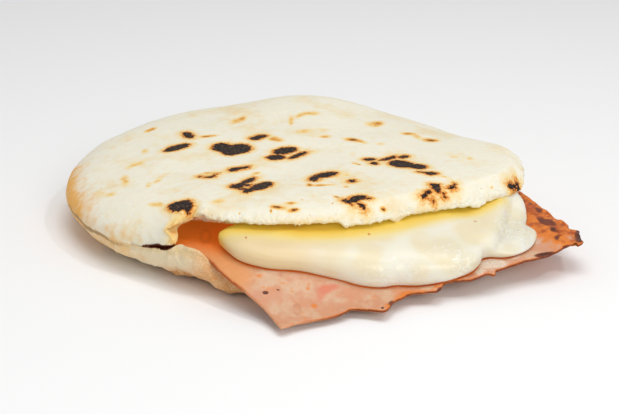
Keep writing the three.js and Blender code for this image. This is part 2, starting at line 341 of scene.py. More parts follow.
# Charred patches of the lid, by their pixels.
charPixels = {
    "farLeft": [(177, 147.5, 13, 2.6, 15), (188, 135, 5.5, 2.8, -20)],
    "farLarge": [(222, 147.5, 10, 4.3), (239, 149.3, 12, 4.8, 5), (231, 152, 9, 3.2)],
    "farMiddle": [(258.5, 137, 8.5, 2.0, 12), (255, 138.5, 4, 1.8)],
    "cup": [(285, 150.7, 12, 3.2, 8), (276, 157.5, 9.5, 2.6, 3), (298, 155.3, 10, 1.5, 18)],
    "thin": [(234, 169.7, 6, 1.8, 8), (243.5, 167.9, 7, 1.2, 10), (200, 177, 2, 1),
             (209, 177.4, 5, 0.9, 5), (215, 175.6, 2.2, 0.8, 35)],
    "centre": [(247, 181.5, 9, 2.2, 24), (237, 186.3, 7, 2.3, 5), (247, 185.2, 4, 1.2),
               (262, 186, 11, 3.4, 14), (249, 190.6, 7, 2, 15), (243, 189.3, 5, 0.9)],
    "nearLeft": [(178, 206.3, 10, 4.4, 6), (185.5, 204.8, 7, 5, 10)],
    "middle": [(326, 175, 11.5, 2.6, 8), (314.5, 179, 5, 2.4, 8), (352, 181, 4, 1.3, 5)],
    "near": [(358, 197.7, 8.5, 2.5, 8), (352.5, 200.7, 7, 2.0, 8), (345, 200.3, 2.8, 1.4),
             (362, 204.6, 3.6, 1.2, -25), (369.5, 198.3, 2, 0.8), (350, 203, 3, 1, -30)],
    "farRight": [(369, 159.3, 5.8, 1.5), (374, 163.2, 3.2, 1.5), (388.5, 158.8, 8.5, 1.4, 12),
                 (404, 157, 5, 1.4, 8)],
    "right": [(402, 164.3, 13, 3.4, -5), (417.5, 166.5, 9, 2.4, -4), (431.5, 173.3, 6, 1.6, -3),
              (420.5, 172, 3, 0.6, -5)],
    "nearRight": [(436, 187.2, 4.6, 3.6, -20), (431.5, 184.4, 2.4, 1.2), (426.5, 192.8, 5, 1.5, 22),
                  (438.5, 190.5, 2, 1), (433.5, 196, 1.6, 1.1), (444, 192.4, 2.2, 0.9),
                  (452, 187.4, 4.2, 1.7, 5), (454.5, 185.3, 1.0, 1.6)],
    "edge": [(512.7, 176, 3.6, 2.4, 10), (517.5, 173.5, 1.5, 2.8), (520.3, 178.7, 3.8, 1.4, -12)],
}
# Tan and brown toasting of the lid, by its pixels.
tanPixels = {
    "far": [(150.8, 129.5, 6, 1.5, 20, 0.9), (207.5, 136, 9, 1.3, 5, 0.9),
            (236, 121, 8, 2.6, 20, 0.5), (243, 118, 4, 2.5, 30, 0.45), (291, 121, 3, 5, 0, 0.5),
            (300, 115.5, 6, 2.2, 25, 0.5), (312, 113.5, 9, 2.2, 3, 0.5), (275, 139, 8, 2.6, -8, 0.8),
            (304, 131.5, 9, 1.8, 5, 0.45), (323, 130, 6, 1.8, 0, 0.35),
            (325, 136.3, 6, 1.4, 0, 0.75), (339, 98.3, 5, 1.8, -15, 0.3)],
    "farRight": [(352.5, 139.7, 8, 1.6, -8, 1.1), (363, 142.5, 5, 1.5, -10, 0.4),
                 (380, 144, 5, 1.5, 0, 0.4), (378, 123.7, 6, 2.6, 5, 0.8), (369, 124, 6, 3, 0, 0.25),
                 (408, 133.8, 7, 1.5, -4, 0.85), (417, 136.7, 5, 1.8, -15, 0.45),
                 (431, 140.5, 8, 1.8, -5, 0.95), (489, 145, 6, 2, -8, 0.35),
                 (481, 143, 6, 2, -8, 0.25), (470, 158.8, 4, 2, 0, 0.5), (455, 157, 6, 2, 0, 0.3)],
    "left": [(145, 151.3, 3.5, 2.6, 20, 0.5), (133, 165, 8, 2.6, 20, 0.4), (125, 180, 4, 5, 20, 0.6),
             (141.7, 162.5, 5, 2, 10, 0.35), (148.3, 185.3, 2, 2, 0, 0.7),
             (157.5, 181, 6, 2.2, 30, 0.4), (166, 174, 8, 2.2, 20, 0.2),
             (111, 194.5, 7, 2.5, 10, 0.35), (100, 193, 6, 3, 0, 0.25), (105.8, 219, 2.2, 6, 0, 0.6),
             (153, 204.5, 5, 2.6, 0, 0.4), (160, 204.5, 4, 2.8, 0, 0.55)],
    "middle": [(220, 201, 7, 2.5, 0, 0.3), (208, 173.5, 8, 1.3, 3, 0.7), (225, 173, 3, 1.4, 0, 0.4),
               (256.7, 173.5, 5, 1.3, 10, 0.7), (323, 185, 12, 1.0, 3, 0.8),
               (309, 184.7, 3, 1.3, 0, 0.9), (345.8, 186.3, 3.5, 1.1, 0, 0.7),
               (346, 175, 5, 1.1, 8, 0.6), (352.5, 154, 3, 3.5, 0, 0.25),
               (355, 163.2, 4, 1.4, 0, 0.55), (420, 172.5, 5, 0.9, -5, 0.8),
               (444, 176.7, 4, 1.1, -10, 0.6)],
    "near": [(277, 207.5, 6, 1.6, -5), (291.7, 203.3, 6, 1.3, 0, 0.75), (294, 210, 5, 1.6, 10, 0.95),
             (284, 207, 15, 5, -5, 0.25), (217, 203, 7, 3, 0, 0.25), (250, 196, 6, 3, 10, 0.25),
             (271, 211, 1.2, 1.4, 0, 0.9), (383.3, 204.7, 3, 1.7, 0, 1.1), (338, 197.5, 5, 1.2, -15),
             (368, 198.5, 6, 1.3), (417.5, 190, 1.5, 1.3, 0, 0.6), (513, 181, 5, 4, 0, 0.6)],
    "specks": [(466.3, 202, 0.9, 0.7, 0, 1.5), (506.3, 188.8, 1, 0.8, 0, 1.3),
               (492.5, 180.8, 1, 0.8, 0, 0.9), (332.5, 203.3, 0.8, 0.6, 0, 1.2),
               (239.7, 212.8, 0.8, 0.7, 0, 1.2), (359, 164.7, 1.2, 0.8, 0, 1.3),
               (302, 200, 1, 0.7, 0, 0.8)],
}


def meridians():
    # Bearings of the columns of points, closer together round the mouth and at its torn end.
    left, right, tear = cake["mouthLeft"], cake["mouthRight"], cake["tear"]
    stretches = [(left, 34), (tear - 4, 30), (tear + 4, 290), (66, 36), (right, 300), (left + 360, 0)]
    parts = [np.linspace(start, end, count, endpoint=False)
             for (start, count), (end, _) in zip(stretches, stretches[1:])]
    return (np.concatenate(parts) + 180) % 360 - 180


def tornOffsets(a):
    # How far the torn lip stands out, and how far it hangs down.
    line = np.stack([a * 1.05, 0 * a, 0 * a], 1)
    wide, fine = grainA.at(line, 3.1), grainB.at(line, 1.3) + 0.6 * grainC.at(line, 0.7)
    ragged = np.maximum(openness(a), 1.3 * hump(a, cake["tear"], 3.0))
    out = ragged * (0.7 * wide + 0.5 * fine) - 0.8 * hump(a, -48.3, 0.9)
    rightEnd = (ramp(a, 24, 28) + 0.5 * ramp(a, 37, 42)) * (1 - ramp(a, 46, 53))
    down = (ragged * (0.6 * wide + fine) + 1.1 * rightEnd
            + openness(a) * (0.3 + 1.7 * ramp(a, -14, -8)) + humps(a, cake["lipTeeth"]))
    return out, down


def polar(a, r):
    return r * np.sin(np.radians(a)), -r * np.cos(np.radians(a))


def lidRows(skin, a, out, down, lean):
    # From beside the pole to the lid's edge, closer together near the edge.
    inner, outer = np.linspace(0.02, 0.84, 46, endpoint=False), 1 - 0.16 * np.linspace(1, 0, 27) ** 1.5
    rows = []
    for step in [*inner, *outer]:
        x, y = polar(a, step * (lidRadius(a) + out * ramp(step, 0.8, 1)))
        full = np.sqrt(1 - step ** topFullness(a))
        z = mix(lidEdgeHeight(a), crownHeight(x, y), full) - openness(a) * down * ramp(step, 0.93, 1)
        rows.append(skin.row(x, y, z, torn=openness(a) * ramp(step, 0.96, 1),
                             lean=lean * ramp(step, 0.9, 0.99)))
    return rows


def lowRows(skin, a, lean):
    # From under the edge to the flat base and in towards its pole.
    rows = []
    for step in 1 - (1 - cake["flat"]) * np.linspace(0, 1, 39)[1:] ** 2.4:
        x, y = polar(a, step * lowRadius(a))
        full = 1.0 if step <= cake["flat"] + 1e-6 else np.sqrt(1 - step ** lowFullness(a))
        z = mix(lowEdgeHeight(a), 0, full)
        rows.append(skin.row(x, y, z, under=1.0, torn=openness(a) * ramp(step, 0.985, 1),
                             lean=lean * ramp(step, 0.9, 0.99)))
    rows += [skin.row(*polar(a, step * lowRadius(a)), 0.0, under=1.0) for step in (0.4, 0.2)]
    return rows


# The slit's stations, as shares of the way to its back. A lip row also has how far the gape and
# the flat underside are reached, and the least wall above.
lipStations = [
    (0.0015, 0.45, 0, 0.3), (0.004, 0.8, 0, 0.6), (0.008, 1, 0, 0.9), (0.014, 1, 0.08, 1.3),
    (0.02, 1, 0.3, 1.8), (0.03, 1, 0.7, 2.4), (0.045, 1, 1, 3),
]
ceilingStations = [0.06, 0.08, 0.11, 0.15, 0.2, 0.28, 0.38, 0.5, 0.62, 0.75, 0.87, 0.95]
floorStations = [0.95, 0.8, 0.6, 0.4, 0.25, 0.17, 0.11, 0.08, 0.065]
sillStations = [0.055, 0.045, 0.038, 0.03, 0.022, 0.015, 0.01, 0.006, 0.003]


def slitRows(skin, b, out, edge, lean):
    # From the lid's edge along the ceiling to the slit's back, and along the floor to the sill.
    openB, lowZ, end = openness(b), lowEdgeHeight(b), cake["slitEnd"]
    lid = np.stack(polar(b, lidRadius(b) + out), 1)
    sill = np.stack(polar(b, lowRadius(b)), 1)
    depth = (ramp(b, cake["mouthLeft"], cake["mouthLeft"] + end)
             * (1 - ramp(b, cake["mouthRight"] - end, cake["mouthRight"]))) ** 0.45
    backY = cake["slitBack"] - 7 * ramp(np.abs(lid[:, 0]), 40, 62)
    back = np.stack([mix(lid[:, 0], lid[:, 0] * 0.86, depth), mix(lid[:, 1], backY, depth)], 1)
    gape = np.minimum(0.5, 0.4 * (edge - lowZ))
    flatUnder = mix(edge - gape, cake["lidUnder"], openB)
    rows = []

    def station(along, z, **marks):
        rows.append(skin.row(*along.T, z, torn=openB, **marks))

    for share, parted, flattened, wall in lipStations:
        along = mix(lid, back, share)
        z = mix(edge - parted * gape, flatUnder, flattened)
        station(along, np.minimum(z, lidHeight(*along.T) - wall * openB),
                lean=lean * (1 - ramp(share, 0.02, 0.06)), inside=0.2)
    for share in ceilingStations:
        along = mix(lid, back, share)
        station(along, np.maximum(ceilingHeight(*along.T), lowZ + 0.6),
                inside=mix(0.4, 1, ramp(share, 0.05, 0.15)))
    floor, under = cake["floor"], cake["floor"] - cake["sillRound"]
    backZ = (floor + np.maximum(ceilingHeight(*back.T), floor + 0.6)) / 2
    station(back, backZ, inside=1)
    for share in floorStations:
        level = floor - cake["sillRound"] * (1 - ramp(share, 0.02, 0.18))
        station(mix(sill, back, share), np.minimum(level, backZ + 4), under=0.5,
                lean=lean * (1 - ramp(share, 0.04, 0.1)), inside=ramp(share, 0.05, 0.15))
    crest = mix(lowZ + 0.3 * np.minimum(gape, 0.5), np.maximum(under, lowZ + 0.8), openB)
    for share in sillStations:
        rise = math.sqrt(1 - (1 - min(1, share / 0.022)) ** 2)
        z = mix(mix(lowZ, crest, rise), under, ramp(share, 0.01, 0.06))
        station(mix(sill, back, share), z, under=0.5, lean=lean)
    return rows


def buildCake():
    skin = Skin()
    a = meridians()
    out, down = tornOffsets(a)
    isOpen = (a > cake["mouthLeft"] + 0.01) & (a < cake["mouthRight"] - 0.01)
    lean = plateau(a, cake["mouthLeft"] - 3, cake["mouthLeft"], 76, 86)
    b, leanB = a[isOpen], lean[isOpen]

    topPole = skin.row(0.0, 0.0, crownHeight(0.0, 0.0))
    top = lidRows(skin, a, out, down, lean)
    lidEdge = top[-1]
    sillEdge = skin.row(*polar(b, lowRadius(b)), lowEdgeHeight(b), torn=openness(b), lean=leanB,
                        under=0.5)
    lowEdge = list(lidEdge)
    for index, vertex in zip(np.nonzero(isOpen)[0], sillEdge):
        lowEdge[index] = vertex
    low = lowRows(skin, a, lean)
    lowPole = skin.row(0.0, 0.0, 0.0, under=1.0)
    skin.bands([topPole * len(a), *top], True)
    skin.bands([lowEdge, *low, lowPole * len(a)], True)

    edge = (lidEdgeHeight(a) - openness(a) * down)[isOpen]
    grid = [[lidEdge[i] for i in np.nonzero(isOpen)[0]],
            *slitRows(skin, b, out[isOpen], edge, leanB), sillEdge]
    leftEnd, rightEnd = lidEdge[0], lidEdge[int(np.nonzero(isOpen)[0][-1]) + 1]
    skin.bands([[leftEnd, *row, rightEnd] for row in grid], False)
    return finishCake(skin)


def nearTear(a, r, inside):
    return hump(a, cake["tear"], 3.2) * ramp(r, 54, 60) * (1 - inside)


def cakeRelief(skin, points):
    # Works along the normals, and straight outwards round the torn lips.
    torn, inside, under = skin.mark("torn"), skin.mark("inside"), skin.mark("under")
    x, y, z = points.T
    r, a = np.hypot(x, y), bearingOf(x, y)
    away = np.maximum(r, 1e-6)
    outward = np.stack([x / away, y / away, mix(-0.1, 0.35, ramp(z, 13, 16))], 1)
    outward /= np.linalg.norm(outward, axis=1, keepdims=True)
    push = mix(skin.normals(points), outward, skin.mark("lean")[:, None])
    push /= np.linalg.norm(push, axis=1, keepdims=True)

    relief = (1 - inside) * ramp(z, 0.05, 2) * (
        0.30 * grainA.at(points, 9.0) + 0.16 * grainB.at(points, 3.2))
    shut = 1 - plateau(a, -63, -58, 66, 84)
    lowFront = (ramp(under, 0.3, 0.5) * plateau(a, -96, -76, 80, 100) * ramp(r, 46, 58)
                * ramp(z, 0.1, 1.5) * (1 - inside) * (1 - shut * ramp(z, 7, 9.8)))
    crumbTop = lowEdgeHeight(a) - 6.2 + 3.0 * grainB.at(points * (1, 1, 0.2), 4.0)
    shelf = lowFront * plateau(a, -64, -60, -30, -20) * ramp(z - crumbTop, -0.25, 0.25)
    relief += lowFront * (grainB.at(points, 5.5) + 0.9 * grainC.at(points, 2.4)
                          + 0.35 * grainA.at(points, 1.1)) + 0.6 * shelf
    relief -= (1.3 * ramp(under, 0.3, 0.5) * ramp(r, 55, 58) * ramp(a, -60, -50)
               * (1 - ramp(a, -38, -30)) * ramp(z - lowEdgeHeight(a), -3.5, 0.2))
    relief += torn * (1 - under) * (1 - inside) * (
        0.5 * grainA.at(points, 1.9) + 0.5 * grainC.at(points, 0.9))
    tear = nearTear(a, r, inside)
    relief += tear * (0.8 * grainB.at(points, 2.0) + np.abs(grainC.at(points, 1.3))
                      + 0.5 * grainA.at(points, 0.8))
    aside = tear * (1.4 * grainB.at(points * (0.3, 0.3, 1), 1.5) + 1.1 * hump(z, 13.6, 1.3)
                    - 2.0 * hump(z, 16.4, 0.9))
    turned = np.stack([np.cos(np.radians(a)), np.sin(np.radians(a)), 0 * a], 1)
    moved = points + push * relief[:, None] + turned * aside[:, None]
    moved[:, 2] = np.maximum(moved[:, 2], 0)
    return moved


def finishCake(skin):
    points = skin.array()
    moved = cakeRelief(skin, points)
    torn, inside, under = skin.mark("torn"), skin.mark("inside"), skin.mark("under")
    x, y, z = points.T
    r, a = np.hypot(x, y), bearingOf(x, y)
    tear = nearTear(a, r, inside) * (under < 0.1)
    char = Marks(lidHeight, allOf(charPixels)).depth(x, y)
    char = np.where((under < 0.1) & (inside < 0.1) & (z > 14), char, -9)
    onLid = (1 - ramp(under, 0, 0.3)) * (1 - inside) * ramp(z, 13, 16)
    lipTint = bearingHump(a, -20, 15) * ramp(r, 52, 57) * (1 - under) * (1 - ramp(z, 20, 22))
    foldHeight = 9.2 + 1.6 * grainC.at(moved, 5)
    crackHeight = (lidEdgeHeight(a) + lowEdgeHeight(a)) / 2
    # Painted shade along the crack between lid and lower half, and darker still behind it.
    crackShade = plateau(a, -65, -61, -51, -48) * ramp(r, 60, 63) * hump(
        z, crackHeight, 0.35 + 0.5 * cake["crack"] * hump(a, cake["crackAt"], 2.0))
    behindCrack = (1 - ramp(a, -55, -53.4)) * ramp(a, -63, -61.5) * ramp(inside, 0, 0.1)
    crumbly = torn * (1 - under) * ramp(z, 17, 18) * (inside < 0.3) + 0.3 * tear
    return skin.build("arepaCake", moved, {
        "char": char, "under": under, "crumbly": crumbly * (char < -1),
        "tan": onLid * Marks(lidHeight, allOf(tanPixels)).soft(x, y) + 0.22 * lipTint + 0.45 * tear,
        # Where the pocket's inside takes painted shade and a painted glow, on its left side.
        "inside": inside * ramp(a, -63, -61.5) * (1 - ramp(x, -10, 25)),
        "rim": (bearingHump(a, -101, 24) * (1 - ramp(z, 11, 18.5)) * ramp(z, 0.5, 3)
                * ramp(r, 50, 60)),
        "crackShade": np.maximum(crackShade, 2 * behindCrack),
        # Painted shade along the fold where the lid meets the lower half, on the left.
        "fold": bearingHump(a, -84, 20) * hump(z, foldHeight, 0.8) * ramp(r, 60, 64),
        # A grease stain beside the ham's edge, with painted shade there too.
        "stainAndShade": (ramp(under, 0.2, 0.4) * ramp(x - hamLeft(y), -5, 0.5) * (1 - ramp(x, -30, -5))
                  * (1 - inside)),
        "level": z + 2 * (1 - ramp(a, -72, -50)),
    })


def hamEdge(side, along):
    place, edgeHumps, edgeSteps = hamEdges[side]
    return place + humps(along, edgeHumps) + steps(along, edgeSteps)


def hamFront(x):
    line = np.stack([x, 0 * x + 3, 0 * x], -1)
    return hamEdge("front", x) + 0.5 * grainA.at(line, 2.6) + 0.35 * grainB.at(line, 1.1)


def hamLeft(y):
    return hamEdge("left", y) + 0.3 * grainA.at(np.stack([0 * y + 8, y, 0 * y], -1), 2.6)


def hamRight(y):
    line = np.stack([0 * y + 14, y, 0 * y], -1)
    return hamEdge("right", y) + 0.3 * grainA.at(line, 2.8) + 0.3 * grainC.at(line, 1.2)


def hamBack(x):
    return 8.5 - 4 * ramp(np.abs(x - 3), 25, 50)


def hamPoint(across, inward):
    # The edges depend on each other, so their crossing is found by a few rounds.
    x = mix(-40.0, 54.0, across)
    for _ in range(6):
        y = mix(hamFront(x), hamBack(x), inward)
        x = mix(hamLeft(y), hamRight(y), across)
    return x, y


def hamTop(x, y):
    return hamUnder(x, y) + ham["thickness"]


# Marks of the ham's upper side, by their pixels.
hamPixels = {
    "dark": [(265.5, 293, 2.6, 1.5, 0, 1.3), (278, 290, 1.3, 1.3, 0, 0.9),
             (382.5, 308, 1.2, 1, 0, 1.3), (398, 302, 1.6, 3), (391, 303, 4, 2.5, 25, 0.6),
             (441, 289.5, 4, 2, 15, 1.1), (276.5, 328, 4, 2, -10, 0.7), (553, 229.5, 2.6, 2, 0, 1.3),
             (545, 254, 10, 1.8, 8, 1.2), (579, 233, 3, 6, 0, 1.2), (580, 240, 3, 2.5),
             (573, 236, 4, 5, 0, 0.3), (532, 197, 10, 1.4, -37, 0.8), (556, 214, 8, 1.4, -42, 0.7),
             (543, 221, 7, 3, -30, 0.9), (539, 210, 5, 3, -20, 0.7), (552, 222, 6, 2.5, -35, 0.7),
             (557, 237, 3, 4, -15, 0.6), (527, 262, 10, 1.2, 20, 0.8), (566, 245, 4, 1.5, 15, 0.8),
             (530, 203, 4, 2, -20, 0.5)],
    "orange": [(272, 289, 6, 3, 0, 0.5), (314.5, 306, 3.5, 2.5, -20, 0.9),
               (303, 304, 3, 2.5, 0, 0.35), (305, 318.5, 3, 1.5, 0, 0.7),
               (326, 319.5, 8, 1.3, 5, 0.9), (286, 283, 2.5, 3, 0, 0.4), (304, 283, 5, 3, 0, 0.4),
               (263, 277, 4, 3, 0, 0.35), (265, 301, 5, 3, 0, 0.35), (280, 303, 2.5, 2, 0, 0.4),
               (390, 285, 14, 4, 10, 0.5), (374, 297, 3, 3, 0, 0.55), (402, 297, 9, 5, 20, 0.8),
               (392, 305, 8, 3, 15, 0.9), (252, 272, 8, 8, 0, 0.4), (420, 292, 16, 2.2, 3, 0.7),
               (440, 286, 5, 4, 0, 0.6), (226, 262, 14, 7, -40, 0.45), (381, 282, 6, 3, 0, 0.35),
               (354, 298, 1.5, 1, 0, 0.6), (242, 279, 9, 4, -48, 0.4)],
    "rosy": [(325, 289, 9, 5, 0, 0.9), (320, 298, 6, 5, 30, 0.6), (335, 286, 6, 3, 0, 0.5),
             (350, 296, 8, 3, -20, 0.35), (520, 251, 12, 4, 20, 0.5)],
    "pale": [(340, 300, 12, 5, 0, 0.4), (275, 308, 10, 9, 0, 0.7), (388, 295, 1.5, 1.5, 0, 0.7),
             (430, 286, 14, 2, 0, 0.5)],
    "wet": [(487, 262, 9, 6), (480, 272, 5, 4, 0, 0.8), (500, 264, 8, 4, 0, 0.8),
            (516, 257, 8, 3, 20, 0.5), (536, 241, 6, 5, 0, 0.45), (570, 237, 4, 3, 0, 0.35),
            (460, 277, 8, 2, 10, 0.4)],
    "rings": [(297, 310, 3.4, 5, 0, 0.35), (206, 237, 4.5, 6.5), (282, 274, 1.6, 2, 0, 0.5)],
}


def buildHam():
    skin = Skin()
    across, even = np.linspace(0, 1, ham["columns"]), np.linspace(0, 1, ham["rows"])
    over, beneath = [], []
    for t in 0.4 * even + 0.6 * even ** 2.6:
        x, y = hamPoint(across, t)
        border = np.minimum(np.minimum(across, 1 - across) * ham["width"],
                            min(t, 1 - t) * ham["length"])
        thick = mix(ham["edgeThickness"], ham["thickness"], ramp(border, 1, 9))
        half = thick / 2 * np.sqrt(1 - (1 - np.clip(border / 0.7, 0, 1)) ** 2)
        crisp = (1 - ramp(border, 0.6, 6)) * ramp(-y, 40, 60) * mix(0.25, 1, ramp(x, 5, 30))
        lift = 1.3 * crisp * grainB.at(np.stack([x, y, 0 * x], 1), 4.5)
        middle = hamTop(x, y) - thick / 2 + lift
        upper = skin.row(x, y, middle + half, border=border, upper=1.0)
        lower = upper[1:-1]
        if 0 < t < 1:
            lower = skin.row(*np.stack([x, y, middle - half])[:, 1:-1], border=border[1:-1])
        over.append(upper)
        beneath.append([upper[0], *lower, upper[-1]])
    skin.bands(over[::-1], False)
    skin.bands(beneath, False)

    points, upper, border = skin.array(), skin.mark("upper"), skin.mark("border")
    x, y, z = points.T
    soft = {name: Marks(hamTop, rows).soft(x, y) for name, rows in hamPixels.items()}
    soft["rings"] = Marks(hamTop, hamPixels["rings"]).rings(x, y)
    relief = upper * ramp(-y, 30, 50) * ramp(border, 0.3, 1.5) * (
        0.35 * grainA.at(points, 5.0) + 0.16 * grainB.at(points, 2.0) + 0.08 * grainC.at(points, 0.9))
    relief += upper * 0.25 * soft["rings"]
    moved = points + skin.normals(points) * relief[:, None]
    return skin.build("hamSlice", moved, {
        **soft, "border": border, "fry": ramp(x + 0.5 * (y + 60), 28, 50),
        # Under the lid, where the ham takes painted shade and a painted glow.
        "covered": 1 - ramp(pastLid(x, y), -9, 1 + 14 * ramp(x, -30, -44)),
        # An oil line along the cheese's foot, and painted shade under the cheese's overhanging edge.
        "oilAndShade": upper * (1 - ramp(pastCheese(x, y), -1.2, -0.2)), "browned": ramp(x, -40, -18),
        "leftSide": (1 - ramp(x, -44, -34)) * ramp(y, -68, -60),
    })


cheese = {
    "gap": 0.35, "headroom": 0.9, "bulge": 3.0, "runDown": 0.2, "centre": (6.0, -36.0),
    "foldStart": (23.5, -77.5), "foldEnd": (44.9, -54.0), "foldBow": 0.6, "foldStep": 2.6,
    "roll": 3.0, "rounding": 7.0, "columns": 430,
}
cheeseKnots = [
    (-42, -43.4), (-38, -40.4), (-32, -36), (-29, -24), (-25, -9), (-14, -2), (8, -1), (30, -3),
    (46, -10), (52, -24), (52.6, -36), (51.6, -44), (50.2, -50), (48.4, -55.6), (46, -60.4),
    (43.5, -63.8), (44, -68), (40.4, -72.8), (34.5, -76), (30, -76), (26, -74), (23.6, -74),
    (21, -76.6), (17, -79), (10, -79), (3, -77), (-3, -74.5), (-8, -74), (-13, -72), (-18, -69),
    (-27, -64.8), (-36, -61), (-41.5, -55), (-42.5, -47),
]


def closedCurve(knots, count):
    # A centripetal curve through the knots, resampled at even steps.
    p = np.array(knots, float)
    loop = []
    for i in range(len(p)):
        near = [p[(i + k) % len(p)] for k in (-1, 0, 1, 2)]
        t = np.cumsum([0.0] + [np.linalg.norm(b - a) ** 0.5 for a, b in zip(near, near[1:])])
        for at in np.linspace(t[1], t[2], 24, endpoint=False):
            first = [mix(near[k], near[k + 1], (at - t[k]) / (t[k + 1] - t[k])) for k in range(3)]
            second = [mix(first[k], first[k + 1], (at - t[k]) / (t[k + 2] - t[k])) for k in range(2)]
            loop.append(mix(*second, (at - t[1]) / (t[2] - t[1])))
    loop = np.array(loop + loop[:1])
    length = np.concatenate([[0], np.cumsum(np.linalg.norm(np.diff(loop, axis=0), axis=1))])
    even = np.linspace(0, length[-1], count, endpoint=False)
    return np.stack([np.interp(even, length, loop[:, k]) for k in (0, 1)], 1)


cheeseOutline = closedCurve(cheeseKnots, cheese["columns"])


# Marks of the slab's top, by their pixels: a wrinkle on the fold, and spots and wet patches.
cheesePixels = {
    "wrinkle": [(518, 213), (519.5, 222), (520, 232), (517, 242)],
    "lobes": [(520, 206, 8, 12, -20, 0.4), (521, 238, 12, 10, 20, 0.7)],
    "dots": [(369, 234, 1.6, 1.2), (246, 237, 1.2, 1), (283, 259, 1.6, 1.2), (475, 221, 1.2, 1),
             (526.5, 210, 1.4, 1.4, 0, 0.6)],
    "wet": [(410, 268, 44, 10, -4), (470, 258, 30, 9, -38), (503, 226, 7, 22, 0, 0.9),
            (522, 232, 18, 16), (440, 248, 16, 6, 0, 0.5)],
}


def lineDistance(surface, line, x, y):
    # Distance in mm to a chain of pixels laid on a surface.
    spots = placeOn(surface, *np.array(line, float).T)
    best = np.full(np.shape(x), 99.0)
    for (ax, ay), (bx, by) in zip(spots, spots[1:]):
        along = ((x - ax) * (bx - ax) + (y - ay) * (by - ay)) / ((bx - ax) ** 2 + (by - ay) ** 2)
        along = np.clip(along, 0, 1)
        best = np.minimum(best, np.hypot(x - mix(ax, bx, along), y - mix(ay, by, along)))
    return best


def pastCheese(x, y):
    # How far a point lies outside the slab's outline, measured from the slab's middle.
    away = np.array([x, y]).T - cheese["centre"]
    rim = cheeseOutline - cheese["centre"]
    bearing, rimBearing = (np.degrees(np.arctan2(p[:, 1], p[:, 0])) for p in (away, rim))
    order = np.argsort(rimBearing)
    reach = np.interp(bearing, rimBearing[order], np.hypot(*rim.T)[order], period=360)
    return np.hypot(*away.T) - reach


def foldDepth(x, y):
    (sx, sy), (ex, ey) = cheese["foldStart"], cheese["foldEnd"]
    length = math.hypot(ex - sx, ey - sy)
    along = ((x - sx) * (ex - sx) + (y - sy) * (ey - sy)) / length
    behind = (((y - sy) * (ex - sx) - (x - sx) * (ey - sy)) / length
              + cheese["foldBow"] * hump(along, 0.45 * length, 0.4 * length))
    fade = 1 - ramp(along, 0.85 * length, 1.15 * length)
    share = np.clip(behind / cheese["roll"], 0, 1)
    return fade * (cheese["foldStep"] * (1 - np.sqrt(1 - (1 - share) ** 2))
                   - 0.5 * hump(behind, cheese["roll"], 2.0))


def cheeseCrown(x, y):
    a = bearingOf(x, y)
    top = mix(ceilingHeight(x, y), slitHeight(y), ramp(pastLid(x, y), -8, -3)) - cheese["headroom"]
    lipLow = 1.1 * plateau(a, 18, 27, 50, 60) * ramp(-y, 20, 40)
    return top - cheese["runDown"] * np.maximum(0, -y - 54) - foldDepth(x, y) - lipLow


def cheeseBed(x, y):
    return hamTop(x, y) + cheese["gap"]


def cheeseWaist(x, y):
    # The height of the slab's widest line.
    bed = cheeseBed(x, y)
    return bed + np.minimum(cheese["bulge"], 0.5 * (cheeseCrown(x, y) - bed))


def buildCheese():
    skin = Skin()
    outline = cheeseOutline[::-1]
    centre = np.array(cheese["centre"])

    def ring(step, height, **marks):
        x, y = mix(centre, outline, step).T
        return skin.row(x, y, height(x, y), **marks)

    def domed(x, y):
        # Rises from the widest line by the distance in from the outline.
        away = np.min(np.hypot(x[:, None] - outline[:, 0], y[:, None] - outline[:, 1]), axis=1)
        share = 1 - np.minimum(away / cheese["rounding"], 1)
        return mix(cheeseWaist(x, y), cheeseCrown(x, y), np.sqrt(1 - share ** 2.5))

    def belly(step):
        rise = 1 - math.sqrt(1 - step ** 110)
        return lambda x, y: mix(cheeseBed(x, y), cheeseWaist(x, y), rise)

    topPole = skin.row(*centre, cheeseCrown(*centre), upper=1.0)
    top = [ring(step, domed, upper=1.0)
           for step in np.sin(np.radians(np.linspace(3, 90, 84, endpoint=False)))]
    waist = ring(1.0, cheeseWaist, upper=1.0)
    low = [ring(step, belly(step)) for step in (
        0.9995, 0.999, 0.998, 0.996, 0.992, 0.985, 0.975, 0.96, 0.92, 0.84, 0.7, 0.52, 0.3)]
    lowPole = skin.row(*centre, cheeseBed(*centre))
    skin.bands([topPole * len(outline), *top, waist, *low, lowPole * len(outline)], True)

    points, upper = skin.array(), skin.mark("upper")
    x, y, z = points.T
    past = pastLid(x, y)
    ellipses = {name: Marks(cheeseCrown, cheesePixels[name]).soft(x, y)
                for name in ("wet", "lobes", "dots")}
    wet = np.minimum(1, ellipses["wet"] * ramp(past, 0, 4))
    wrinkle = hump(lineDistance(cheeseCrown, cheesePixels["wrinkle"], x, y), 0, 1.6)
    relief = ramp(past, -3, 3) * (
        0.45 * grainA.at(points, 8.0) + 0.45 * wrinkle + 0.8 * ellipses["lobes"])
    relief += wet * (0.2 * grainB.at(points * (1, 1, 1.8), 3.0) + 0.07 * grainC.at(points, 1.3))
    moved = points + skin.normals(points) * (upper * relief)[:, None]
    return skin.build("cheeseSlab", moved, {
        "wet": wet, "dots": ellipses["dots"] * upper, "left": 1 - ramp(x, -38, -8),
        # Painted shade under the lid's lip, yellow, fading to the right.
        "shade": (1 - ramp(past, -3, mix(11, 8, ramp(x, 5, 25)))) * (1 - ramp(x, 38, 48)),
    })


def paint(red, green, blue):
    def linear(value):
        value /= 255
        return value / 12.92 if value <= 0.04045 else ((value + 0.055) / 1.055) ** 2.4
    return (linear(red), linear(green), linear(blue), 1.0)


